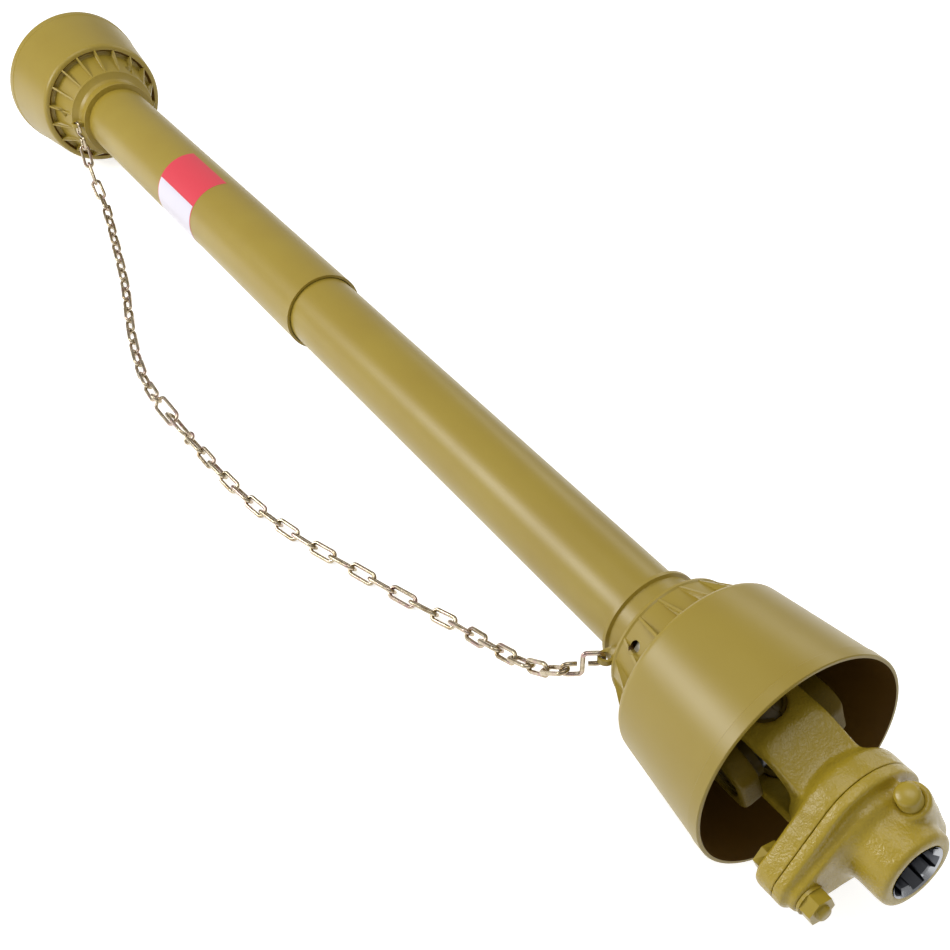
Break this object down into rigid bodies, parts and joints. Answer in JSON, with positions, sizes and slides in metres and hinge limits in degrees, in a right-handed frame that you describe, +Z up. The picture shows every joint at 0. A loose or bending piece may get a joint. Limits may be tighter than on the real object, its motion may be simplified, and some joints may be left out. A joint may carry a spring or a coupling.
{
  "type": "guarded PTO drive shaft",
  "caption": "Telescopic power take-off drive shaft in a plastic guard with bell ends, universal joints, push-pin yokes, a shear-bolt limiter and a retaining chain.",
  "frame": {"origin": "centre of the tractor yoke's splined bore, where its lands begin", "axes": "+X along the shaft to the implement end, +Z up with the chain on the -Y side"},
  "size_m": [1.422, 0.2305, 0.158],
  "materials": {
    "guard_plastic": "satin moulded, mustard",
    "nylon": "moulded nylon",
    "painted_casting": "gloss mustard paint over a cast skin",
    "painted_forging": "mustard paint over a forged skin",
    "painted_steel": "mustard paint over turned steel",
    "drawn_tube": "drawn and greased",
    "bright_steel": "machined",
    "yellow_zinc": "yellow zinc plated wire"
  },
  "bodies": {
    "tractor_guard": {"tractor_bell": "guard_plastic", "outer_guard_tube": "guard_plastic", "tractor_bearing_ring": "nylon", "tractor_s_hook": "yellow_zinc", "tractor_chain": "yellow_zinc", "tractor_clip": "yellow_zinc"},
    "implement_guard": {"implement_bell": "guard_plastic", "inner_guard_tube": "guard_plastic", "implement_bearing_ring": "nylon", "implement_s_hook": "yellow_zinc", "implement_chain": "yellow_zinc", "implement_clip": "yellow_zinc"},
    "tractor_drive": {"tractor_tube_yoke": "painted_forging", "tractor_tube_caps": "bright_steel", "tractor_tube_snap_rings": "bright_steel", "outer_profile_tube": "drawn_tube", "tractor_spring_pin": "bright_steel"},
    "implement_drive": {"implement_tube_yoke": "painted_forging", "implement_tube_caps": "bright_steel", "implement_tube_snap_rings": "bright_steel", "inner_profile_tube": "drawn_tube", "implement_spring_pin": "bright_steel"},
    "tractor_cross": {"tractor_cross": "bright_steel", "tractor_grease_nipple": "bright_steel"},
    "quick_release": {"quick_release_yoke": "painted_casting", "tractor_yoke_caps": "bright_steel", "tractor_yoke_snap_rings": "bright_steel", "tractor_pin_spring": "bright_steel", "tractor_pin_plug": "bright_steel"},
    "tractor_pin": {"tractor_push_pin": "painted_steel"},
    "implement_cross": {"implement_cross": "bright_steel", "implement_grease_nipple": "bright_steel"},
    "limiter": {"limiter_yoke": "painted_casting", "limiter_caps": "bright_steel", "limiter_snap_rings": "bright_steel", "limiter_hub": "painted_casting", "hub_retaining_ring": "bright_steel", "shear_bolt": "painted_steel", "shear_washer": "painted_steel", "shear_nut": "painted_steel", "implement_pin_spring": "bright_steel", "implement_pin_plug": "bright_steel"},
    "implement_pin": {"implement_push_pin": "painted_steel"}
  },
  "joints": [
    {"name": "shaft_spin", "type": "hinge", "parent": "tractor_guard", "child": "tractor_drive", "pos_m": [0.0924, 0, 0], "axis": [1, 0, 0], "continuous": true},
    {"name": "telescope", "type": "slide", "parent": "tractor_drive", "child": "implement_drive", "axis": [1, 0, 0], "range_m": [-0.37, 0.03]},
    {"name": "guard_slide", "type": "slide", "parent": "tractor_guard", "child": "implement_guard", "axis": [1, 0, 0], "range_m": [-0.37, 0.03], "deforming": ["tractor_chain", "tractor_clip", "implement_chain", "implement_clip"]},
    {"name": "tractor_cross_turn", "type": "hinge", "parent": "tractor_drive", "child": "tractor_cross", "pos_m": [0.0924, 0, 0], "axis": [0, 0.9397, 0.342], "range_deg": [-25, 25]},
    {"name": "tractor_yoke_turn", "type": "hinge", "parent": "tractor_cross", "child": "quick_release", "pos_m": [0.0924, 0, 0], "axis": [0, -0.342, 0.9397], "range_deg": [-25, 25]},
    {"name": "tractor_pin_push", "type": "slide", "parent": "quick_release", "child": "tractor_pin", "axis": [0, 0.342, -0.9397], "range_m": [0, 0.009], "stiffness_N_per_m": 1200, "springref_m": -0.006, "deforming": ["tractor_pin_spring"]},
    {"name": "implement_cross_turn", "type": "hinge", "parent": "implement_drive", "child": "implement_cross", "pos_m": [1.3004, 0, 0], "axis": [0, 0.9397, 0.342], "range_deg": [-20, 20]},
    {"name": "limiter_turn", "type": "hinge", "parent": "implement_cross", "child": "limiter", "pos_m": [1.3004, 0, 0], "axis": [0, -0.342, 0.9397], "range_deg": [-20, 20]},
    {"name": "implement_pin_push", "type": "slide", "parent": "limiter", "child": "implement_pin", "axis": [0, 0.4894, -0.8721], "range_m": [0, 0.009], "stiffness_N_per_m": 1200, "springref_m": -0.006, "deforming": ["implement_pin_spring"]}
  ],
  "couplings": [
    {"joint": "guard_slide", "follows": "telescope", "ratio": 1}
  ]
}
